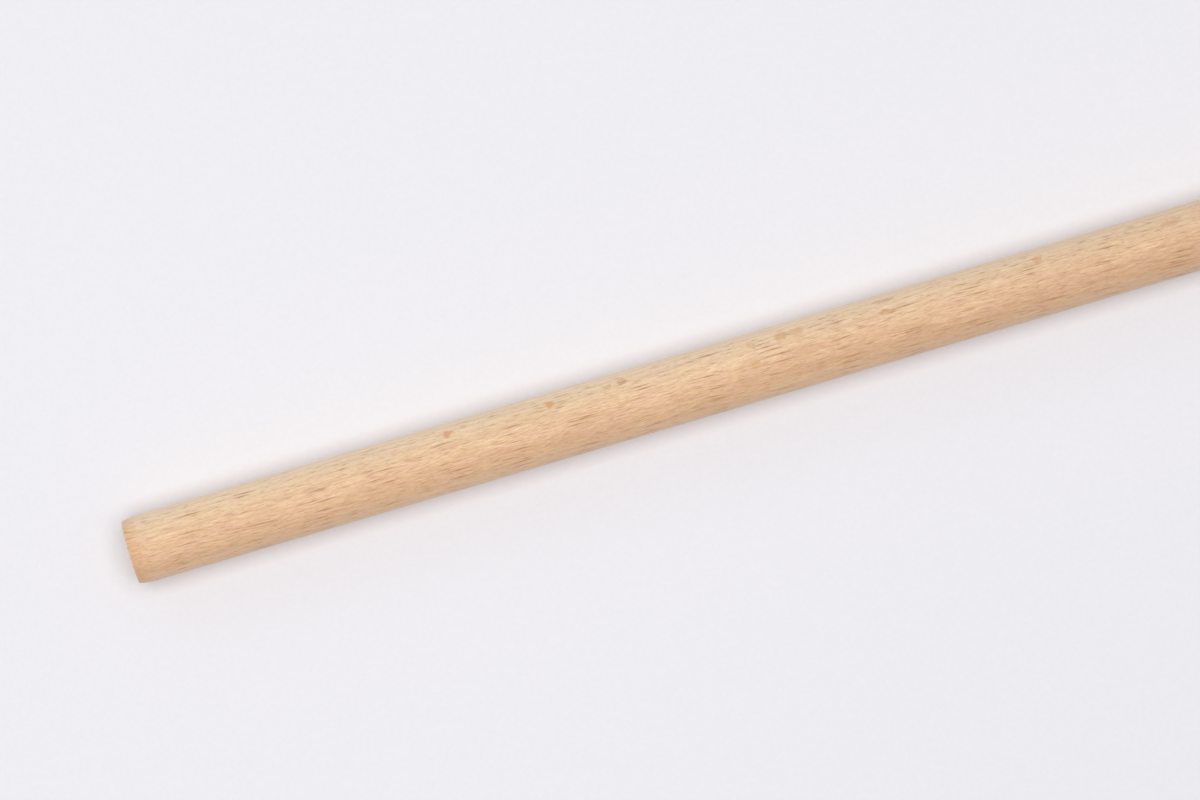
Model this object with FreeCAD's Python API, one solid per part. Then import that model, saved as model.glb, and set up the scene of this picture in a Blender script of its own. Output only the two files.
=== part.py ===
# Wooden roller extension pole: a plain beech pole with an eased butt, and at its working end a drawn
# steel ferrule, a cast tip with a coarse trapezoidal screw thread, and the cross rivet that holds them.
#
# Frame: millimetres, the pole lies along X with +Z up. The origin is on the pole's axis at the front face
# of the tip's collar, where a roller handle's socket seats. +X runs out along the thread, and the butt is
# the far end on -X. Each piece is written to parts/NAME.step.

import FreeCAD, Part
import math
import os

Vector = FreeCAD.Vector

# Driving dimensions
POLE_DIAMETER = 24.0
OVERALL_LENGTH = 1200.0
BUTT_ROUND = 30.0  # radius of the arc that eases the butt's wall in
BUTT_EDGE_RADIUS = 11.3  # where that arc ends
BUTT_EDGE_BREAK = 0.15  # chamfer from there to the flat end

COLLAR_THICKNESS = 4.5
COLLAR_EDGE = 0.5
THREAD_DIAMETER = 18.8  # over the crests, for a 3/4 inch socket
THREAD_PITCH = 25.4 / 5
THREAD_DEPTH = 2.1
THREAD_LENGTH = 25.0
REGISTER_DIAMETER = 19.2  # plain boss between the collar and the thread, just over the crests
REGISTER_LENGTH = 3.0
NECK_LENGTH = 3.2  # thread relief
PILOT_LENGTH = 6.8  # plain nose ahead of the thread
SHANK_DIAMETER = 12.0
SHANK_LENGTH = 40.0

FERRULE_LENGTH = 38.0
FERRULE_WALL = 0.8
CRIMP_DEPTH = 0.5
CRIMP_RADIUS = 1.5
CRIMP_INSET = 6.5  # from each end of the ferrule to the middle of its crimp

RIVET_DIAMETER = 4.0
RIVET_HEAD_DIAMETER = 7.4
RIVET_HEAD_HEIGHT = 1.5

# Thread form
FLANK_ANGLE = math.radians(14.5)
ROOT_FLAT = 1.75
ROOT_FILLET = 0.40
CREST_ROUND = 0.45
CREST_OVERRUN = 0.02  # the crest rounding is tangent this far outside the blank, so that the cut is clean

# Fits, all on the radius
GLUE_GAP = 0.05
RIVET_GAP = 0.03

# Small features
SEAM_CHAMFER = 0.3
REGISTER_CHAMFER = 0.4
SHANK_CHAMFER = 1.2
GLUE_GROOVE_DEPTH = 0.45
GLUE_GROOVE_WIDTH = 1.6
GLUE_GROOVE_PITCH = 4.0
GLUE_GROOVES_PER_SIDE = 3
DRILL_POINT_ANGLE = math.radians(59)
BORE_CLEARANCE_DEPTH = 3.0  # room past the shank's end
NOSE_ROUND = 3.0
CENTRE_DIMPLE_RADIUS = 1.4
CENTRE_DIMPLE_DEPTH = 1.1
FLUTES = 28
FLUTE_RADIUS = 0.9
FLUTE_DEPTH = 0.35

# Worked-out places
POLE_RADIUS = POLE_DIAMETER / 2
SHANK_RADIUS = SHANK_DIAMETER / 2
THREAD_RADIUS = THREAD_DIAMETER / 2
ROOT_RADIUS = THREAD_RADIUS - THREAD_DEPTH
REGISTER_RADIUS = REGISTER_DIAMETER / 2
NECK_RADIUS = ROOT_RADIUS - 0.1
PILOT_RADIUS = ROOT_RADIUS - 0.2
THREAD_START_X = REGISTER_LENGTH + NECK_LENGTH
THREAD_END_X = THREAD_START_X + THREAD_LENGTH
TIP_PROJECTION = THREAD_END_X + PILOT_LENGTH
BUTT_X = TIP_PROJECTION - OVERALL_LENGTH
WOOD_END_X = -COLLAR_THICKNESS
FERRULE_REAR_X = WOOD_END_X - FERRULE_LENGTH
SHANK_END_X = WOOD_END_X - SHANK_LENGTH
BORE_END_X = SHANK_END_X - BORE_CLEARANCE_DEPTH
RIVET_X = (WOOD_END_X + FERRULE_REAR_X) / 2
CRIMPS_X = (FERRULE_REAR_X + CRIMP_INSET, WOOD_END_X - CRIMP_INSET)
FERRULE_BORE_RADIUS = POLE_RADIUS - FERRULE_WALL
SPIGOT_RADIUS = FERRULE_BORE_RADIUS - GLUE_GAP
BORE_RADIUS = SHANK_RADIUS + GLUE_GAP
CRIMP_CENTRE_RADIUS = POLE_RADIUS - CRIMP_DEPTH + CRIMP_RADIUS

X_AXIS = Vector(1, 0, 0)
Y_AXIS = Vector(0, 1, 0)
ORIGIN = Vector(0, 0, 0)


class Outline:
    """A half section in the XY plane, X along the axis and Y the radius, made of lines and arcs."""

    def __init__(self, x, radius):
        self.start = self.here = Vector(x, radius, 0)
        self.edges = []

    def line(self, x, radius):
        """A straight run to the point given."""
        end = Vector(x, radius, 0)
        self.edges.append(Part.LineSegment(self.here, end).toShape())
        self.here = end
        return self

    def arc(self, x, radius, centre_x, centre_radius):
        """An arc of under half a turn to the point given, about the centre given."""
        centre = Vector(centre_x, centre_radius, 0)
        end = Vector(x, radius, 0)
        middle = (self.here - centre) + (end - centre)
        middle.normalize()
        through = centre + middle * (end - centre).Length
        self.edges.append(Part.Arc(self.here, through, end).toShape())
        self.here = end
        return self

    def revolved(self):
        """The solid of revolution about X. The outline is closed back to its start first."""
        self.line(self.start.x, self.start.y)
        return Part.Face(Part.Wire(self.edges)).revolve(ORIGIN, X_AXIS, 360)


def crimp(outline, middle_x, surface_radius, towards_tip):
    """Takes the outline along a rolled crimp. Every surface of the crimp shares one centre."""
    arc_radius = CRIMP_CENTRE_RADIUS - (surface_radius - CRIMP_DEPTH)
    rise = CRIMP_CENTRE_RADIUS - surface_radius
    half_width = math.sqrt(arc_radius**2 - rise**2)
    way = 1 if towards_tip else -1
    outline.line(middle_x - way * half_width, surface_radius)
    outline.arc(middle_x + way * half_width, surface_radius, middle_x, CRIMP_CENTRE_RADIUS)


def rivet_hole(clearance):
    """The drill that a piece is crossed with for the rivet, along Y."""
    radius = RIVET_DIAMETER / 2 + clearance
    start = Vector(RIVET_X, -POLE_DIAMETER, 0)
    return Part.makeCylinder(radius, 2 * POLE_DIAMETER, start, Y_AXIS)


def pole_shaft():
    """The beech pole: eased butt, a spigot turned down for the ferrule, and a bore for the tip's shank."""
    round_centre_radius = POLE_RADIUS - BUTT_ROUND
    round_length = math.sqrt(BUTT_ROUND**2 - (BUTT_EDGE_RADIUS - round_centre_radius) ** 2)
    round_end_x = BUTT_X + BUTT_EDGE_BREAK + round_length
    outline = Outline(BUTT_X, 0)
    outline.line(BUTT_X, BUTT_EDGE_RADIUS - BUTT_EDGE_BREAK)
    outline.line(BUTT_X + BUTT_EDGE_BREAK, BUTT_EDGE_RADIUS)
    outline.arc(round_end_x, POLE_RADIUS, round_end_x, round_centre_radius)
    outline.line(FERRULE_REAR_X - SEAM_CHAMFER, POLE_RADIUS)
    outline.line(FERRULE_REAR_X, POLE_RADIUS - SEAM_CHAMFER)
    outline.line(FERRULE_REAR_X, SPIGOT_RADIUS)
    for middle_x in CRIMPS_X:
        crimp(outline, middle_x, SPIGOT_RADIUS, towards_tip=True)
    outline.line(WOOD_END_X, SPIGOT_RADIUS)
    outline.line(WOOD_END_X, BORE_RADIUS)
    outline.line(BORE_END_X, BORE_RADIUS)
    outline.line(BORE_END_X - BORE_RADIUS / math.tan(DRILL_POINT_ANGLE), 0)
    return outline.revolved().cut(rivet_hole(RIVET_GAP))


def end_ferrule():
    """A drawn steel tube that keeps the bored end from splitting, crimped near both its ends."""
    outline = Outline(FERRULE_REAR_X, FERRULE_BORE_RADIUS)
    outline.line(FERRULE_REAR_X, POLE_RADIUS - SEAM_CHAMFER)
    outline.line(FERRULE_REAR_X + SEAM_CHAMFER, POLE_RADIUS)
    for middle_x in CRIMPS_X:
        crimp(outline, middle_x, POLE_RADIUS, towards_tip=True)
    outline.line(WOOD_END_X - SEAM_CHAMFER, POLE_RADIUS)
    outline.line(WOOD_END_X, POLE_RADIUS - SEAM_CHAMFER)
    outline.line(WOOD_END_X, FERRULE_BORE_RADIUS)
    for middle_x in reversed(CRIMPS_X):
        crimp(outline, middle_x, FERRULE_BORE_RADIUS, towards_tip=False)
    return outline.revolved().cut(rivet_hole(RIVET_GAP))


def shank_grooves(outline):
    """Shallow rings on the shank, either side of the rivet, that the glue keys into."""
    first = RIVET_X - GLUE_GROOVE_PITCH * GLUE_GROOVES_PER_SIDE
    half_width = GLUE_GROOVE_WIDTH / 2
    for k in range(2 * GLUE_GROOVES_PER_SIDE + 1):
        if k == GLUE_GROOVES_PER_SIDE:
            continue  # the rivet crosses here
        middle_x = first + k * GLUE_GROOVE_PITCH
        outline.line(middle_x - half_width, SHANK_RADIUS)
        outline.line(middle_x - half_width + GLUE_GROOVE_DEPTH, SHANK_RADIUS - GLUE_GROOVE_DEPTH)
        outline.line(middle_x + half_width - GLUE_GROOVE_DEPTH, SHANK_RADIUS - GLUE_GROOVE_DEPTH)
        outline.line(middle_x + half_width, SHANK_RADIUS)


def tip_body():
    """The tip behind its thread: ringed shank, collar and register."""
    outline = Outline(SHANK_END_X, 0)
    outline.line(SHANK_END_X, SHANK_RADIUS - SHANK_CHAMFER)
    outline.line(SHANK_END_X + SHANK_CHAMFER, SHANK_RADIUS)
    shank_grooves(outline)
    outline.line(WOOD_END_X, SHANK_RADIUS)
    outline.line(WOOD_END_X, POLE_RADIUS - COLLAR_EDGE)
    outline.line(WOOD_END_X + COLLAR_EDGE, POLE_RADIUS)
    outline.line(-COLLAR_EDGE, POLE_RADIUS)
    outline.line(0, POLE_RADIUS - COLLAR_EDGE)
    outline.line(0, REGISTER_RADIUS)
    outline.line(REGISTER_LENGTH - REGISTER_CHAMFER, REGISTER_RADIUS)
    outline.line(REGISTER_LENGTH, REGISTER_RADIUS - REGISTER_CHAMFER)
    outline.line(REGISTER_LENGTH, 0)
    return outline.revolved()


def screw_envelope():
    """The outside shape of the screw: neck, thread with a bevel at both its ends, and rounded pilot."""
    nose_x = TIP_PROJECTION - NOSE_ROUND
    nose_radius = PILOT_RADIUS - NOSE_ROUND
    outline = Outline(REGISTER_LENGTH, 0)
    outline.line(REGISTER_LENGTH, NECK_RADIUS)
    outline.line(THREAD_START_X, NECK_RADIUS)
    outline.line(THREAD_START_X + THREAD_RADIUS - NECK_RADIUS, THREAD_RADIUS)
    outline.line(THREAD_END_X - THREAD_RADIUS + PILOT_RADIUS, THREAD_RADIUS)
    outline.line(THREAD_END_X, PILOT_RADIUS)
    outline.line(nose_x, PILOT_RADIUS)
    outline.arc(TIP_PROJECTION, nose_radius, nose_x, nose_radius)
    outline.line(TIP_PROJECTION, CENTRE_DIMPLE_RADIUS)
    outline.line(TIP_PROJECTION - CENTRE_DIMPLE_DEPTH, 0)
    return outline.revolved()


def fillet_tangents(corner, before, after, radius):
    """Start, middle and end of the arc that rounds the corner of the path before-corner-after."""
    back = (before - corner).normalize()
    ahead = (after - corner).normalize()
    half_angle = back.getAngle(ahead) / 2
    reach = radius / math.tan(half_angle)
    bisector = (back + ahead).normalize()
    centre = corner + bisector * (radius / math.sin(half_angle))
    return corner + back * reach, centre - bisector * radius, corner + ahead * reach


def groove_section():
    """The thread groove's section for a screw along Z: X is the radius, and Z runs along the screw."""
    crest_line = THREAD_RADIUS + CREST_OVERRUN
    outside = crest_line + 1.0
    root_half = ROOT_FLAT / 2
    crest_half = root_half + (crest_line - ROOT_RADIUS) * math.tan(FLANK_ANGLE)
    side = []
    for z_way in (-1, 1):
        root = Vector(ROOT_RADIUS, 0, z_way * root_half)
        crest = Vector(crest_line, 0, z_way * crest_half)
        land = Vector(crest_line, 0, z_way * (crest_half + 1.0))
        side.append(
            (
                fillet_tangents(root, Vector(ROOT_RADIUS, 0, 0), crest, ROOT_FILLET),
                fillet_tangents(crest, root, land, CREST_ROUND),
            )
        )
    (low_root, low_crest), (high_root, high_crest) = side
    low_corner = Vector(outside, 0, low_crest[2].z)
    high_corner = Vector(outside, 0, high_crest[2].z)
    edges = [
        Part.LineSegment(low_corner, low_crest[2]),
        Part.Arc(low_crest[2], low_crest[1], low_crest[0]),
        Part.LineSegment(low_crest[0], low_root[2]),
        Part.Arc(low_root[2], low_root[1], low_root[0]),
        Part.LineSegment(low_root[0], high_root[0]),
        Part.Arc(high_root[0], high_root[1], high_root[2]),
        Part.LineSegment(high_root[2], high_crest[0]),
        Part.Arc(high_crest[0], high_crest[1], high_crest[2]),
        Part.LineSegment(high_crest[2], high_corner),
        Part.LineSegment(high_corner, low_corner),
    ]
    return Part.Wire([edge.toShape() for edge in edges])


def thread_groove():
    """The right-hand helical groove along +X, from inside the neck to past the thread's front end."""
    start = THREAD_START_X - NECK_LENGTH / 2
    run = NECK_LENGTH / 2 + THREAD_LENGTH + THREAD_PITCH / 2
    helix = Part.makeHelix(THREAD_PITCH, run, ROOT_RADIUS)
    groove = Part.Wire(helix).makePipeShell([groove_section()], True, True)
    groove.rotate(ORIGIN, Y_AXIS, 90)
    groove.translate(Vector(start, 0, 0))
    return groove


def collar_flutes():
    """Fine straight flutes round the collar's rim."""
    pitch_radius = POLE_RADIUS + FLUTE_RADIUS - FLUTE_DEPTH
    flutes = []
    for k in range(FLUTES):
        angle = 2 * math.pi * (k + 0.5) / FLUTES
        place = Vector(WOOD_END_X, pitch_radius * math.cos(angle), pitch_radius * math.sin(angle))
        flutes.append(Part.makeCylinder(FLUTE_RADIUS, COLLAR_THICKNESS, place, X_AXIS))
    return flutes


def screw():
    """Neck, thread and pilot. The groove is cut in a plain bar first: cutting a shaped blank fails."""
    bar_length = TIP_PROJECTION + COLLAR_THICKNESS
    bar = Part.makeCylinder(THREAD_RADIUS, bar_length, Vector(WOOD_END_X, 0, 0), X_AXIS)
    grooved = bar.cut(thread_groove())
    threaded = grooved.common(screw_envelope())
    if threaded.Volume > 0.95 * screw_envelope().Volume:
        raise ValueError("the thread groove wasn't cut")
    return threaded


def threaded_tip():
    """The cast tip: a ringed shank for the pole's bore, a fluted collar, and the screw."""
    tip = tip_body().fuse(screw())
    return tip.cut(collar_flutes() + [rivet_hole(RIVET_GAP)])


def rivet_head(way):
    """One domed head, cupped underneath to sit on the ferrule's round."""
    head_radius = RIVET_HEAD_DIAMETER / 2
    top = POLE_RADIUS + RIVET_HEAD_HEIGHT
    sink = 1.0
    rim = 0.35
    dome_height = RIVET_HEAD_HEIGHT - rim
    sphere_radius = (head_radius**2 + dome_height**2) / (2 * dome_height)
    base = Vector(RIVET_X, way * (POLE_RADIUS - sink), 0)
    column = Part.makeCylinder(head_radius, RIVET_HEAD_HEIGHT + sink, base, Y_AXIS * way)
    dome = Part.makeSphere(sphere_radius, Vector(RIVET_X, way * (top - sphere_radius), 0))
    tube_start = Vector(RIVET_X - RIVET_HEAD_DIAMETER, 0, 0)
    tube = Part.makeCylinder(POLE_RADIUS, 2 * RIVET_HEAD_DIAMETER, tube_start, X_AXIS)
    return column.common(dome).cut(tube)


def tip_rivet():
    """The solid cross rivet, set with a domed head at each side."""
    half_length = POLE_RADIUS + RIVET_HEAD_HEIGHT / 2
    start = Vector(RIVET_X, -half_length, 0)
    stem = Part.makeCylinder(RIVET_DIAMETER / 2, 2 * half_length, start, Y_AXIS)
    return stem.fuse([rivet_head(1), rivet_head(-1)]).removeSplitter()


PIECES = {
    "pole_shaft": pole_shaft,
    "end_ferrule": end_ferrule,
    "threaded_tip": threaded_tip,
    "tip_rivet": tip_rivet,
}

os.makedirs("parts", exist_ok=True)
for name, make in PIECES.items():
    shape = make()
    solids = shape.Solids
    if len(solids) != 1 or not solids[0].isValid():
        raise ValueError(f"{name} should be one valid solid, and has {len(solids)}")
    solids[0].exportStep(f"parts/{name}.step")
    print(f"{name}: {solids[0].Volume:.0f} mm3")
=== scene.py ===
"""Looks for the roller extension pole: a beech shaft, a crimped ferrule, a cast tip and its rivet.

Lengths are in metres unless a name ends in _mm, and everything is in the row's frame: +X runs along the pole
and out of the threaded end, +Z is up, and the pole lies on the floor.
"""

import math

import bmesh
import bpy
from mathutils import Matrix, Vector


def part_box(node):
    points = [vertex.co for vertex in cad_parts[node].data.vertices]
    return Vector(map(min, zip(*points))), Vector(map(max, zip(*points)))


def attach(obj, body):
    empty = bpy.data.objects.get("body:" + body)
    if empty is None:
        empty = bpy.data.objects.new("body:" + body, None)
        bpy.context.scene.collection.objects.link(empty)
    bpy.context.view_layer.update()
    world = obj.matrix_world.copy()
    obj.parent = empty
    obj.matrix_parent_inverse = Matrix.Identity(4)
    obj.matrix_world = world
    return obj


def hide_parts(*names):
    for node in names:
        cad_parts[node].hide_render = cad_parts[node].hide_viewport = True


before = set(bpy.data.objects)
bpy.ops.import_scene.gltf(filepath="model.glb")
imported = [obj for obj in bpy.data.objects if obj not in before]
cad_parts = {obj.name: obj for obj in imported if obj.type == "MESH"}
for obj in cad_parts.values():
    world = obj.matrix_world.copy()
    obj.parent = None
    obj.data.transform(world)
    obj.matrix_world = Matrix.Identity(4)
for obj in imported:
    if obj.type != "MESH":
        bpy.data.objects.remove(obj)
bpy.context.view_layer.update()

MM = 0.001

# Where things are, from the CAD
SHAFT_LOW, SHAFT_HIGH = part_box("pole_shaft")
FERRULE_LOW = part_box("end_ferrule")[0]
TIP_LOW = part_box("threaded_tip")[0]
RIVET_LOW, RIVET_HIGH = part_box("tip_rivet")
BUTT_X = SHAFT_LOW.x
WOOD_END_X = SHAFT_HIGH.x
SEAM_X = FERRULE_LOW.x
POLE_RADIUS = SHAFT_HIGH.z
FLOOR_Z = SHAFT_LOW.z
RIVET_X = (RIVET_LOW.x + RIVET_HIGH.x) / 2
BORE_PAST_TIP = 3.0 * MM
BORE_END_X = TIP_LOW.x - BORE_PAST_TIP

# The shaft's turned shape
BUTT_EDGE_RADIUS = 11.3 * MM
BUTT_EDGE_BREAK = 0.15 * MM
BUTT_ROUND = 30.0 * MM
SEAM_CHAMFER = 0.3 * MM
SPIGOT_RADIUS = 11.15 * MM
CRIMP_INSET = 6.5 * MM
CRIMP_MIDDLES = (SEAM_X + CRIMP_INSET, WOOD_END_X - CRIMP_INSET)
CRIMP_DEPTH = 0.5 * MM
CRIMP_HALF_WIDTH = 1.6 * MM
BORE_RADIUS = 6.05 * MM
DRILL_POINT_DEPTH = 3.6 * MM
RIVET_HOLE_RADIUS = 2.03 * MM
CRIMP_STEPS = 8
SHAFT_SEGMENTS = 128
DRILL_SEGMENTS = 48
SHAFT_STEP = 3.0 * MM

# The camera: straight above, turned so that the pole rises to the right
CAMERA_TURN = math.radians(16.54)
CAMERA_LENS_MM = 250.0
CAMERA_SENSOR_MM = 36.0
FRAME_WIDTH = 421.7 * MM
LOOK_PAST_BUTT = 173.4 * MM
LOOK_ASIDE = 4.4 * MM

# The wood. Angles are round the pole, from the top towards +Y.
RING_CENTRE_ANGLE = math.radians(163)
RING_CENTRE_MM = 75.0
OUT_OF_RINGS = (0.0, -math.sin(RING_CENTRE_ANGLE), -math.cos(RING_CENTRE_ANGLE))
RING_PITCH_MM = 2.3
FIBRE_RUNOUT = 0.006
FIBRE_SLEW = 0.012
PIN_KNOTS = (
    # millimetres past the butt, angle in degrees, half width in millimetres, length over width,
    # and how strong the orange core and the brown rim are
    (119.0, 43.0, 1.40, 1.2, 0.78, 0.16),
    (156.0, 42.0, 1.35, 1.1, 0.80, 0.10),
    (177.0, 43.0, 0.85, 1.1, 0.20, 0.32),
    (182.5, 45.0, 1.10, 1.2, 0.20, 0.44),
    (229.0, 5.0, 1.10, 1.5, 0.45, 0.10),
    (229.5, 41.0, 0.90, 1.3, 0.30, 0.20),
    (240.5, 41.0, 1.20, 1.5, 0.38, 0.34),
    (246.0, 41.0, 1.40, 1.5, 0.35, 0.20),
    (279.0, 28.0, 0.55, 4.5, 0.48, 0.36),
    (279.0, 52.0, 0.70, 4.0, 0.40, 0.34),
    (334.0, 41.0, 1.75, 1.1, 0.58, 0.08),
    (382.5, 36.0, 1.10, 2.2, 0.36, 0.18),
)


def srgb(red, green, blue):
    """A display colour of 0 to 255 as the linear colour that nodes and lights take."""

    def linear(level):
        share = level / 255
        return share / 12.92 if share <= 0.04045 else ((share + 0.055) / 1.055) ** 2.4

    return (linear(red), linear(green), linear(blue), 1.0)


class Nodes:
    """One material's nodes. Each method adds a node, and takes and returns sockets or plain numbers."""

    def __init__(self, name):
        self.material = bpy.data.materials.new(name)
        self.material.use_nodes = True
        self.tree = self.material.node_tree
        self.tree.nodes.clear()

    def add(self, kind, inputs=(), **settings):
        """A node of this kind, with its settings, and with its first inputs in order."""
        node = self.tree.nodes.new(kind)
        for name, value in settings.items():
            setattr(node, name, value)
        for socket, value in zip(node.inputs, inputs):
            self.feed(socket, value)
        return node

    def feed(self, socket, value):
        """Links an output socket to this input, or sets the input to a number or colour."""
        if isinstance(value, bpy.types.NodeSocket):
            self.tree.links.new(value, socket)
        elif value is not None:
            socket.default_value = value

    def place_mm(self):
        """The point in the row's frame, in millimetres, as a vector."""
        place = self.add("ShaderNodeTexCoord").outputs["Object"]
        return self.vector("SCALE", place, scale=1000.0)

    def math(self, operation, *values):
        return self.add("ShaderNodeMath", values, operation=operation).outputs[0]

    def vector(self, operation, *values, scale=None):
        node = self.add("ShaderNodeVectorMath", values, operation=operation)
        if scale is not None:
            self.feed(node.inputs["Scale"], scale)
        return node.outputs["Value" if operation in ("DOT_PRODUCT", "LENGTH") else "Vector"]

    def combine(self, x, y, z):
        return self.add("ShaderNodeCombineXYZ", (x, y, z)).outputs[0]

    def noise(self, vector, detail=2.0, roughness=0.5, colour=False):
        node = self.add("ShaderNodeTexNoise")
        self.feed(node.inputs["Vector"], vector)
        node.inputs["Scale"].default_value = 1.0
        node.inputs["Detail"].default_value = detail
        node.inputs["Roughness"].default_value = roughness
        return node.outputs[1 if colour else 0]

    def cells(self, vector):
        """Points scattered over a plane: the distance to the nearest one, and its own random number."""
        node = self.add("ShaderNodeTexVoronoi", voronoi_dimensions="2D", distance="MANHATTAN")
        self.feed(node.inputs["Vector"], vector)
        node.inputs["Scale"].default_value = 1.0
        chance = self.add("ShaderNodeSeparateColor", (node.outputs["Color"],)).outputs[0]
        return node.outputs["Distance"], chance

    def ramp(self, value, low, high, low_to=0.0, high_to=1.0, kind="SMOOTHSTEP"):
        """The value carried from the range low to high onto low_to to high_to, and held at the ends."""
        node = self.add("ShaderNodeMapRange", (value, low, high, low_to, high_to), interpolation_type=kind)
        return node.outputs[0]

    def mix(self, share, first, second, blend="MIX"):
        node = self.add("ShaderNodeMix", data_type="RGBA", blend_type=blend)
        self.feed(node.inputs[0], share)
        self.feed(node.inputs[6], first)
        self.feed(node.inputs[7], second)
        return node.outputs[2]

    def bump(self, height, strength, depth):
        node = self.add("ShaderNodeBump")
        node.inputs["Strength"].default_value = strength
        node.inputs["Distance"].default_value = depth
        self.feed(node.inputs["Height"], height)
        return node.outputs[0]

    def finish(self, **sockets):
        """Ends the tree with a Principled shader, with each named socket fed, and gives the material."""
        shader = self.add("ShaderNodeBsdfPrincipled")
        for name, value in sockets.items():
            self.feed(shader.inputs[name.replace("_", " ")], value)
        output = self.add("ShaderNodeOutputMaterial")
        self.tree.links.new(shader.outputs[0], output.inputs["Surface"])
        return self.material


# ---------------------------------------------------------------- the shaft's mesh


def arc_points(start_x, end_x, centre_x, centre_radius, radius, steps):
    """Points along an arc that bulges outwards, evenly spaced in angle."""
    first = math.acos((start_x - centre_x) / radius)
    last = math.acos((end_x - centre_x) / radius)
    points = []
    for k in range(1, steps + 1):
        angle = first + (last - first) * k / steps
        points.append((centre_x + radius * math.cos(angle), centre_radius + radius * math.sin(angle)))
    return points


def shaft_profile():
    """The shaft's half section as (x, radius) from the middle of the butt round to the bottom of the bore."""
    face_radius = BUTT_EDGE_RADIUS - BUTT_EDGE_BREAK
    centre_radius = POLE_RADIUS - BUTT_ROUND
    round_length = math.sqrt(BUTT_ROUND**2 - (BUTT_EDGE_RADIUS - centre_radius) ** 2)
    round_start = BUTT_X + BUTT_EDGE_BREAK
    round_end = round_start + round_length
    points = [(BUTT_X, face_radius * share) for share in (0.0, 0.25, 0.5, 0.75, 0.92, 1.0)]
    points.append((round_start, BUTT_EDGE_RADIUS))
    points += arc_points(round_start, round_end, round_end, centre_radius, BUTT_ROUND, 10)
    wall_end = SEAM_X - SEAM_CHAMFER
    steps = round((wall_end - round_end) / SHAFT_STEP)
    points += [(round_end + (wall_end - round_end) * k / steps, POLE_RADIUS) for k in range(1, steps + 1)]
    points.append((SEAM_X, POLE_RADIUS - SEAM_CHAMFER))
    points.append((SEAM_X, SPIGOT_RADIUS))
    for middle in CRIMP_MIDDLES:
        for k in range(-CRIMP_STEPS, CRIMP_STEPS + 1):
            share = k / CRIMP_STEPS
            dip = CRIMP_DEPTH * 0.5 * (1 + math.cos(math.pi * share))
            points.append((middle + CRIMP_HALF_WIDTH * share, SPIGOT_RADIUS - dip))
    points.append((WOOD_END_X, SPIGOT_RADIUS))
    points.append((WOOD_END_X, BORE_RADIUS))
    points.append((BORE_END_X, BORE_RADIUS))
    points.append((BORE_END_X - DRILL_POINT_DEPTH, 0.0))
    return points


def lathe(name, profile, segments):
    """A closed mesh turned round the X axis. The profile starts and ends on the axis."""
    verts = []
    rings = []
    for x, radius in profile:
        if radius == 0.0:
            rings.append([len(verts)])
            verts.append((x, 0.0, 0.0))
            continue
        rings.append(list(range(len(verts), len(verts) + segments)))
        for k in range(segments):
            angle = 2 * math.pi * k / segments
            verts.append((x, radius * math.cos(angle), radius * math.sin(angle)))
    faces = []
    for ring, following in zip(rings, rings[1:]):
        for k in range(segments):
            n = (k + 1) % segments
            if len(ring) == 1:
                faces.append((ring[0], following[n], following[k]))
            elif len(following) == 1:
                faces.append((ring[k], ring[n], following[0]))
            else:
                faces.append((ring[k], ring[n], following[n], following[k]))
    mesh = bpy.data.meshes.new(name)
    mesh.from_pydata(verts, [], faces)
    return mesh


def drill_through(piece, x, radius):
    """Drills a hole across the piece, along Y, and leaves no modifier on it."""
    reach = 2 * POLE_RADIUS
    rod = [(-reach, 0.0), (-reach, radius), (reach, radius), (reach, 0.0)]
    drill = bpy.data.objects.new("drill", lathe("drill", rod, DRILL_SEGMENTS))
    drill.matrix_world = Matrix.Translation((x, 0.0, 0.0)) @ Matrix.Rotation(math.radians(90), 4, "Z")
    bpy.context.scene.collection.objects.link(drill)
    cut = piece.modifiers.new("hole", "BOOLEAN")
    cut.operation = "DIFFERENCE"
    cut.solver = "EXACT"
    cut.object = drill
    depsgraph = bpy.context.evaluated_depsgraph_get()
    drilled = bpy.data.meshes.new_from_object(piece.evaluated_get(depsgraph))
    piece.modifiers.clear()
    piece.data = drilled
    bpy.data.objects.remove(drill)


def show(mesh, name, material, sharp_degrees=30):
    """An object for this mesh, smooth apart from its sharp edges."""
    build = bmesh.new()
    build.from_mesh(mesh)
    bmesh.ops.recalc_face_normals(build, faces=build.faces)
    build.to_mesh(mesh)
    build.free()
    mesh.polygons.foreach_set("use_smooth", [True] * len(mesh.polygons))
    mesh.set_sharp_from_angle(angle=math.radians(sharp_degrees))
    mesh.materials.append(material)
    piece = bpy.data.objects.new(name, mesh)
    bpy.context.scene.collection.objects.link(piece)
    return piece


# ---------------------------------------------------------------- materials


def fibre_place(nodes, place):
    """The point as (along the fibres, out through the rings, round the rings) in millimetres."""
    wander = nodes.noise(nodes.vector("MULTIPLY", place, (1 / 42, 1 / 18, 1 / 18)), 1.0, colour=True)
    wander = nodes.vector("MULTIPLY", nodes.vector("SUBTRACT", wander, (0.5, 0.5, 0.5)), (0.0, 3.2, 3.2))
    place = nodes.vector("ADD", place, wander)
    along = nodes.vector("DOT_PRODUCT", place, (1.0, 0.0, 0.0))
    out = (FIBRE_RUNOUT, OUT_OF_RINGS[1], OUT_OF_RINGS[2])
    across = (FIBRE_SLEW, OUT_OF_RINGS[2], -OUT_OF_RINGS[1])
    height = nodes.math("ADD", nodes.vector("DOT_PRODUCT", place, out), RING_CENTRE_MM)
    aside = nodes.vector("DOT_PRODUCT", place, across)
    ring_radius = nodes.vector("LENGTH", nodes.combine(height, aside, 0.0))
    round_ring = nodes.math("MULTIPLY", nodes.math("ARCTAN2", aside, height), RING_CENTRE_MM)
    return along, ring_radius, round_ring


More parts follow.
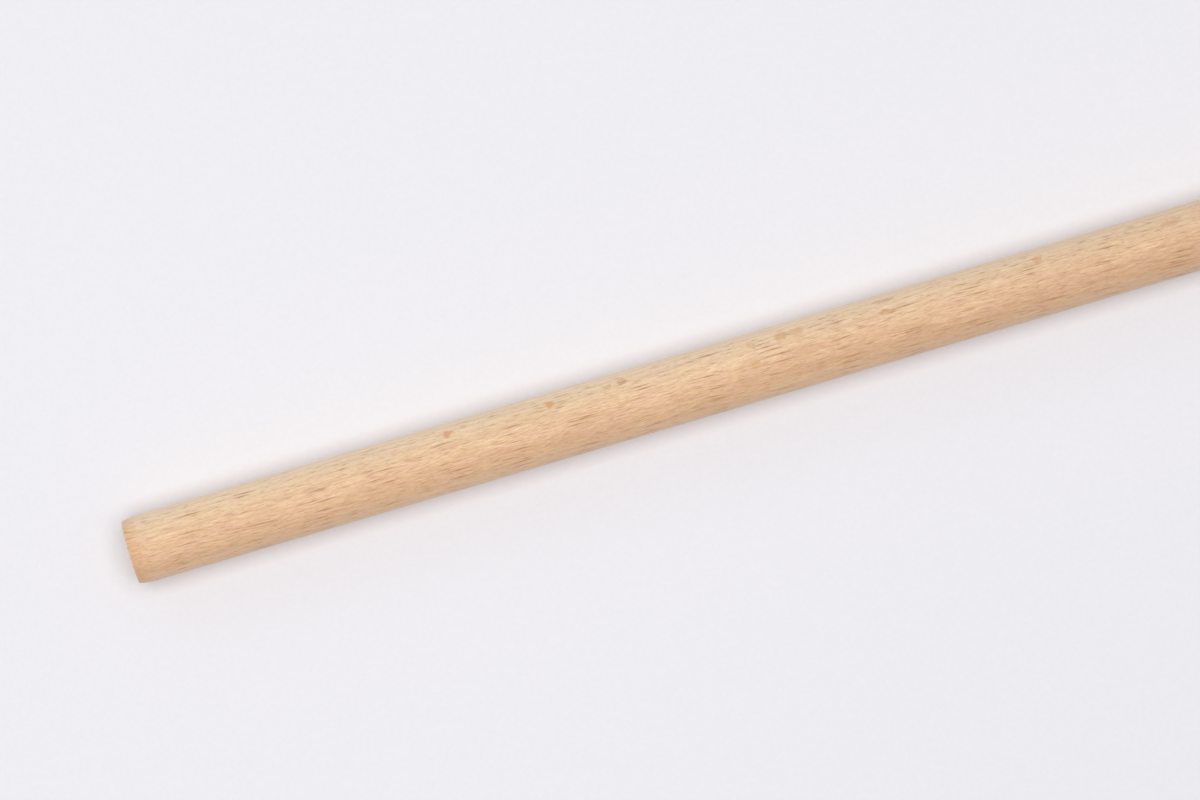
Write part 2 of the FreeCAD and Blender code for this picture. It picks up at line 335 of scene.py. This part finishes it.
def streaks(nodes, fibre, length, width, detail=2.0):
    """Soft streaks of about this length and width, as noise about 0.5."""
    sizes = (length, width, width)
    scaled = [nodes.math("DIVIDE", way, size) for way, size in zip(fibre, sizes)]
    return nodes.noise(nodes.combine(*scaled), detail, 0.6)


def rays(nodes, fibre, length, width, fewest):
    """Thin sheets that run out through the rings, and show as tapered dashes where the rings lie flat."""
    place = nodes.combine(nodes.math("DIVIDE", fibre[0], length), nodes.math("DIVIDE", fibre[2], width), 0.0)
    distance, chance = nodes.cells(place)
    return nodes.ramp(distance, nodes.ramp(chance, fewest, 1.0, 0.06, 0.42, "LINEAR"), 0.04)


def pin_knot(nodes, place, past_butt, degrees, radius, length_ratio):
    """How much of a pin knot's core, and of the brown round and in it, is at this point."""
    angle = math.radians(degrees)
    along = nodes.math("SUBTRACT", nodes.vector("DOT_PRODUCT", place, (1.0, 0.0, 0.0)), past_butt)
    aside = nodes.vector("DOT_PRODUCT", place, (0.0, math.cos(angle), -math.sin(angle)))
    outward = nodes.vector("DOT_PRODUCT", place, (0.0, math.sin(angle), math.cos(angle)))
    reach = nodes.vector("LENGTH", nodes.combine(nodes.math("DIVIDE", along, length_ratio), aside, 0.0))
    near_side = nodes.ramp(outward, 2.0, 4.0)
    core = nodes.ramp(reach, radius * 1.3, radius * 0.5)
    hollow = nodes.ramp(reach, radius * 1.1, radius * 0.3, 1.0, 0.55)
    rim = nodes.math("MULTIPLY", nodes.ramp(reach, radius * 1.8, radius * 1.0), hollow)
    return nodes.math("MULTIPLY", core, near_side), nodes.math("MULTIPLY", rim, near_side)


def fibre_colour(nodes, fibre, side, broad, middle, fine):
    """Straw to pink wood in streaks. The +Y side is painted pale and the -Y side deeper and pinker, partly as
    the pole's lit and shaded sides and partly as the wood's own tone, up to a -Y edge painted paler as
    reflected light.
    """
    tone = nodes.math("MULTIPLY", broad, 0.20)
    tone = nodes.math("MULTIPLY_ADD", middle, 0.24, tone)
    tone = nodes.math("MULTIPLY_ADD", fine, 0.56, tone)
    tone = nodes.ramp(tone, 0.35, 0.65, kind="LINEAR")
    drift = streaks(nodes, fibre, 9.0, 2.0, 3.0)
    hue = nodes.ramp(nodes.math("MULTIPLY_ADD", side, -0.006, drift), 0.36, 0.64)
    straw = nodes.mix(tone, srgb(214, 172, 125), srgb(253, 221, 179))
    pink = nodes.mix(tone, srgb(213, 166, 128), srgb(252, 215, 181))
    colour = nodes.mix(hue, straw, pink)
    # Painted light, partly the wood's own tone: the +Y side painted pale as the lit side, the -Y side deeper
    # as the shaded side, and the -Y edge paler as a painted reflection.
    colour = nodes.mix(nodes.ramp(side, 1.0, 11.5, 0.0, 0.55, "LINEAR"), colour, srgb(252, 234, 204))
    colour = nodes.mix(nodes.ramp(side, 3.0, -7.0, 0.0, 0.36, "LINEAR"), colour, srgb(212, 164, 122))
    return nodes.mix(nodes.ramp(side, -6.5, -10.5, 0.0, 0.40), colour, srgb(232, 200, 162))


def with_rings(nodes, fibre, colour):
    """The colour with growth rings, darker towards each ring's outside."""
    drift = streaks(nodes, fibre, 160.0, 14.0, 1.0)
    count = nodes.math("MULTIPLY_ADD", fibre[1], 1 / RING_PITCH_MM, drift)
    late = nodes.math("POWER", nodes.math("FRACT", count), 3.0)
    return nodes.mix(nodes.math("MULTIPLY", late, 0.3), colour, srgb(210, 164, 124))


def with_rays(nodes, place, kinds, colour):
    """The colour with each kind of dash, from its least to its most as the surface turns across the rays."""
    flatness = nodes.math("ABSOLUTE", nodes.vector("DOT_PRODUCT", place, OUT_OF_RINGS))
    for dashes, least, most in kinds:
        shown = nodes.math("MULTIPLY", dashes, nodes.ramp(flatness, 0.5, 5.0, least, most))
        colour = nodes.mix(shown, colour, srgb(170, 114, 72))
    return colour


def with_pin_knots(nodes, place, colour):
    """The colour with the pin knots, a little out of round."""
    bent = nodes.noise(nodes.vector("SCALE", place, scale=0.5), colour=True)
    bent = nodes.vector("SUBTRACT", bent, (0.5, 0.5, 0.5))
    bent = nodes.vector("ADD", place, nodes.vector("SCALE", bent, scale=2.6))
    for past_butt, degrees, radius, length_ratio, core_share, rim_share in PIN_KNOTS:
        core, rim = pin_knot(nodes, bent, past_butt, degrees, radius, length_ratio)
        colour = nodes.mix(nodes.math("MULTIPLY", core, core_share), colour, srgb(228, 162, 106))
        colour = nodes.mix(nodes.math("MULTIPLY", rim, rim_share), colour, srgb(184, 136, 86))
    return colour


def with_ends(nodes, place, broad, middle, colour):
    """The colour made deeper away from the butt, partly as painted shade, and in the end grain, with a pale
    worn edge that is partly a painted highlight, and painted shade, partly grime, at the ferrule seam.
    """
    past_butt = nodes.vector("DOT_PRODUCT", place, (1.0, 0.0, 0.0))
    # Deeper from 220 to 400 mm past the butt: partly painted shade for the light falling off along the pole,
    # partly the wood's tone.
    colour = nodes.mix(nodes.ramp(past_butt, 220.0, 400.0, 0.0, 0.15), colour, srgb(180, 132, 104))
    colour = nodes.mix(nodes.ramp(past_butt, 7.0, 0.2, 0.0, 0.36), colour, srgb(210, 152, 98))
    axis_distance = nodes.vector("LENGTH", nodes.vector("MULTIPLY", place, (0.0, 1.0, 1.0)))
    on_wall = nodes.ramp(axis_distance, 10.9, 11.25)
    colour = nodes.mix(nodes.ramp(past_butt, 0.1, 0.0, 0.0, 0.16), colour, srgb(196, 150, 106))
    # A pale worn ring on the butt's rim, partly a painted highlight where the edge catches light.
    worn = nodes.math("MULTIPLY", nodes.ramp(past_butt, 0.5, 0.2), nodes.ramp(middle, 0.38, 0.62, 0.0, 0.42))
    colour = nodes.mix(nodes.math("MULTIPLY", worn, on_wall), colour, srgb(247, 232, 204))
    # Painted shade, partly grime, darkening the wood towards the ferrule seam.
    seam_mm = (SEAM_X - BUTT_X) / MM
    shade_and_grime = nodes.ramp(past_butt, seam_mm - 2.0, seam_mm, 0.0, nodes.ramp(broad, 0.3, 0.7, 0.1, 0.4))
    return nodes.mix(shade_and_grime, colour, srgb(128, 98, 70))


def beech():
    """Raw sanded beech as a solid: rings round a centre below the pole, rays out of it, fibres along X."""
    nodes = Nodes("beech")
    place = nodes.vector("SUBTRACT", nodes.place_mm(), (BUTT_X / MM, 0.0, 0.0))
    fibre = fibre_place(nodes, place)
    side = nodes.vector("DOT_PRODUCT", place, (0.0, 1.0, 0.0))
    broad = streaks(nodes, fibre, 40.0, 4.0)
    middle = streaks(nodes, fibre, 9.0, 0.65)
    fine = streaks(nodes, fibre, 3.6, 0.29)
    pores = rays(nodes, fibre, 2.2, 0.16, 0.0)
    flecks = rays(nodes, fibre, 4.0, 0.45, 0.1)
    short_rays = rays(nodes, fibre, 9.0, 0.58, 0.3)
    long_rays = rays(nodes, fibre, 24.0, 0.9, 0.45)
    kinds = ((pores, 0.10, 0.22), (flecks, 0.08, 0.24), (short_rays, 0.12, 0.54), (long_rays, 0.02, 0.74))

    colour = fibre_colour(nodes, fibre, side, broad, middle, fine)
    colour = with_rings(nodes, fibre, colour)
    colour = with_rays(nodes, place, kinds, colour)
    colour = with_pin_knots(nodes, place, colour)
    colour = with_ends(nodes, place, broad, middle, colour)

    relief = nodes.math("MULTIPLY_ADD", long_rays, -0.5, nodes.math("ADD", middle, fine))
    relief = nodes.math("MULTIPLY_ADD", pores, -0.3, relief)
    return nodes.finish(
        Base_Color=colour,
        Roughness=nodes.ramp(fine, 0.3, 0.7, 0.68, 0.55, "LINEAR"),
        Specular_IOR_Level=0.45,
        Sheen_Weight=0.18,
        Sheen_Roughness=0.5,
        Normal=nodes.bump(relief, 0.35, 0.05 * MM),
    )


def from_rivet(nodes, place):
    """Distance from the rivet's axis in millimetres."""
    offset = nodes.vector("SUBTRACT", place, (RIVET_X / MM, 0.0, 0.0))
    return nodes.vector("LENGTH", nodes.vector("MULTIPLY", offset, (1.0, 0.0, 1.0)))


def plated_steel():
    """Zinc-plated steel tube: drawing lines round it, dull patches, scratches, and painted shade, partly
    grime, in its corners by the rivet, the crimps and the ends.
    """
    nodes = Nodes("plated_steel")
    place = nodes.place_mm()
    along = nodes.vector("DOT_PRODUCT", place, (1.0, 0.0, 0.0))
    lines = nodes.noise(nodes.vector("MULTIPLY", place, (8.0, 0.4, 0.4)), 3.0, 0.6)
    patches = nodes.noise(nodes.vector("SCALE", place, scale=0.14), 3.0)
    corner_blotches = nodes.noise(nodes.vector("SCALE", place, scale=0.5), 3.0, 0.6)
    scratches = nodes.noise(nodes.vector("MULTIPLY", place, (0.35, 5.0, 5.0)), 1.0)
    scratches = nodes.ramp(scratches, 0.66, 0.74)

    # Painted shade, partly grime: darker near the rivet head, in the crimps and at the tube's ends.
    corners = [nodes.ramp(from_rivet(nodes, place), 5.2, 3.7)]
    for middle in CRIMP_MIDDLES:
        aside = nodes.math("ABSOLUTE", nodes.math("SUBTRACT", along, middle / MM))
        corners.append(nodes.ramp(aside, 1.7, 0.5))
    for end in (SEAM_X, WOOD_END_X):
        aside = nodes.math("ABSOLUTE", nodes.math("SUBTRACT", along, end / MM))
        corners.append(nodes.ramp(aside, 1.2, 0.1))
    corner = corners[0]
    for other in corners[1:]:
        corner = nodes.math("MAXIMUM", corner, other)
    shade_and_grime = nodes.math("MULTIPLY", corner, nodes.ramp(corner_blotches, 0.3, 0.65, 0.2, 0.75))

    colour = nodes.mix(nodes.ramp(patches, 0.35, 0.7), srgb(208, 208, 204), srgb(188, 188, 182))
    colour = nodes.mix(nodes.ramp(lines, 0.3, 0.7, 0.25, 0.0, "LINEAR"), colour, srgb(120, 120, 116))
    colour = nodes.mix(nodes.math("MULTIPLY", scratches, 0.5), colour, srgb(232, 232, 230))
    # The painted shade and grime colour.
    colour = nodes.mix(nodes.math("MULTIPLY", shade_and_grime, 0.7), colour, srgb(98, 92, 82))
    roughness = nodes.ramp(patches, 0.3, 0.7, 0.28, 0.42, "LINEAR")
    return nodes.finish(
        Base_Color=colour,
        Metallic=1.0,
        Roughness=nodes.math("MULTIPLY_ADD", shade_and_grime, 0.22, roughness),
        Normal=nodes.bump(nodes.math("MULTIPLY_ADD", scratches, -0.6, lines), 0.25, 0.02 * MM),
    )


def rivet_steel():
    """The rivet's bright steel, dimpled by the setting tool, with painted shade, partly grime, round the rim
    where its head meets the ferrule.
    """
    nodes = Nodes("rivet_steel")
    place = nodes.place_mm()
    dimples = nodes.noise(nodes.vector("SCALE", place, scale=0.9), 2.0)
    grain = nodes.noise(nodes.vector("SCALE", place, scale=5.0), 2.0)
    # Painted shade, partly grime, on the head's rim where it meets the ferrule.
    rim = nodes.ramp(from_rivet(nodes, place), 3.1, 3.7)
    shade_and_grime = nodes.math("MULTIPLY", rim, nodes.ramp(dimples, 0.35, 0.6, 0.35, 0.85))
    colour = nodes.mix(nodes.ramp(grain, 0.3, 0.7), srgb(190, 191, 193), srgb(202, 203, 204))
    colour = nodes.mix(nodes.math("MULTIPLY", shade_and_grime, 0.7), colour, srgb(88, 84, 78))
    return nodes.finish(
        Base_Color=colour,
        Metallic=1.0,
        Roughness=nodes.math("MULTIPLY_ADD", shade_and_grime, 0.25, nodes.ramp(dimples, 0.3, 0.7, 0.3, 0.38, "LINEAR")),
        Normal=nodes.bump(nodes.math("MULTIPLY_ADD", grain, 0.1, dimples), 0.25, 0.06 * MM),
    )


def zinc_casting():
    """Die-cast zinc: grey, faintly mottled and pitted, painted darker down in the thread as shade, and bright
    on the crests.
    """
    nodes = Nodes("zinc_casting")
    place = nodes.place_mm()
    mottle = nodes.noise(nodes.vector("SCALE", place, scale=0.45), 4.0, 0.6)
    pits = nodes.noise(nodes.vector("SCALE", place, scale=3.5), 2.0, 0.5)
    axis_distance = nodes.vector("LENGTH", nodes.vector("MULTIPLY", place, (0.0, 1.0, 1.0)))
    worn = nodes.math("MULTIPLY", nodes.ramp(axis_distance, 9.0, 9.4), nodes.ramp(mottle, 0.4, 0.6))
    colour = nodes.mix(nodes.ramp(mottle, 0.3, 0.7), srgb(158, 160, 163), srgb(182, 184, 186))
    colour = nodes.mix(nodes.math("MULTIPLY", worn, 0.5), colour, srgb(208, 209, 210))
    # Painted shade: darker nearer the axis, down in the thread.
    colour = nodes.mix(nodes.ramp(axis_distance, 7.2, 8.6, 0.35, 0.0), colour, srgb(112, 113, 115))
    return nodes.finish(
        Base_Color=colour,
        Metallic=1.0,
        Roughness=nodes.ramp(mottle, 0.3, 0.7, 0.52, 0.38, "LINEAR"),
        Normal=nodes.bump(nodes.math("ADD", mottle, nodes.math("MULTIPLY", pits, 0.4)), 0.3, 0.06 * MM),
    )


def floor_material():
    """Pale seamless paper."""
    nodes = Nodes("seamless_paper")
    tooth = nodes.noise(nodes.vector("SCALE", nodes.place_mm(), scale=0.8), 3.0)
    return nodes.finish(
        Base_Color=nodes.mix(nodes.ramp(tooth, 0.3, 0.7), srgb(238, 238, 242), srgb(240, 240, 244)),
        Roughness=0.8,
        Specular_IOR_Level=0.1,
    )


def give(node_name, material):
    """Puts a material on a CAD piece."""
    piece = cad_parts[node_name]
    piece.data.materials.clear()
    piece.data.materials.append(material)


# ---------------------------------------------------------------- floor, light and camera


def add_floor():
    """A plain floor at the pole's lowest line."""
    half = 15.0
    mesh = bpy.data.meshes.new("floor")
    corners = [(-half, -half), (half, -half), (half, half), (-half, half)]
    mesh.from_pydata([(x, y, FLOOR_Z) for x, y in corners], [], [(0, 1, 2, 3)])
    mesh.materials.append(floor_material())
    floor = bpy.data.objects.new("floor", mesh)
    bpy.context.scene.collection.objects.link(floor)


def add_softbox(name, place, aim, size, power, colour, spread_degrees=180):
    """A rectangular soft light that the camera doesn't see."""
    light = bpy.data.lights.new(name, "AREA")
    light.shape = "RECTANGLE"
    light.size, light.size_y = size
    light.energy = power
    light.spread = math.radians(spread_degrees)
    light.color = colour
    lamp = bpy.data.objects.new(name, light)
    lamp.location = place
    lamp.rotation_mode = "QUATERNION"
    lamp.rotation_quaternion = (Vector(aim) - Vector(place)).to_track_quat("-Z", "Y")
    lamp.visible_camera = False
    bpy.context.scene.collection.objects.link(lamp)


def add_lights():
    """A broad box over the butt, weak ones from +Y and over the working end, and an even fill all round."""
    white = (1.0, 0.985, 0.98)
    butt = Vector((BUTT_X, 0.0, 0.0))
    butt_half = butt + Vector((0.1, 0.0, 0.0))
    add_softbox("overhead", butt + Vector((0.0, 0.0, 1.7)), butt, (1.6, 1.4), 23.2, white)
    warm = (1.0, 0.985, 0.96)
    add_softbox("side", butt_half + Vector((-0.5, 1.5, 1.1)), butt_half, (2.4, 0.8), 3.1, warm)
    working_end = Vector((0.0, 0.0, 0.0))
    add_softbox("front", working_end + Vector((0.1, 0.0, 1.2)), working_end, (0.6, 0.6), 0.6, white, 60)
    world = bpy.data.worlds.new("studio")
    world.use_nodes = True
    background = world.node_tree.nodes["Background"]
    background.inputs["Color"].default_value = (0.97, 0.97, 1.0, 1.0)
    background.inputs["Strength"].default_value = 0.34
    bpy.context.scene.world = world


def add_camera():
    """A long lens straight above the butt's half of the pole."""
    data = bpy.data.cameras.new("camera")
    data.lens = CAMERA_LENS_MM
    data.sensor_width = CAMERA_SENSOR_MM
    distance = FRAME_WIDTH * CAMERA_LENS_MM / CAMERA_SENSOR_MM
    data.clip_start = 0.05
    data.clip_end = 50.0
    camera = bpy.data.objects.new("camera", data)
    spot = Vector((BUTT_X + LOOK_PAST_BUTT, LOOK_ASIDE, distance))
    camera.matrix_world = Matrix.Translation(spot) @ Matrix.Rotation(-CAMERA_TURN, 4, "Z")
    bpy.context.scene.collection.objects.link(camera)
    bpy.context.scene.camera = camera


# ---------------------------------------------------------------- the scene

shaft = show(lathe("beech_shaft", shaft_profile(), SHAFT_SEGMENTS), "beech_shaft", beech())
drill_through(shaft, RIVET_X, RIVET_HOLE_RADIUS)
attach(shaft, "root")
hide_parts("pole_shaft")

give("end_ferrule", plated_steel())
give("threaded_tip", zinc_casting())
give("tip_rivet", rivet_steel())

add_floor()
add_lights()
add_camera()
bpy.context.scene.view_settings.view_transform = "Standard"
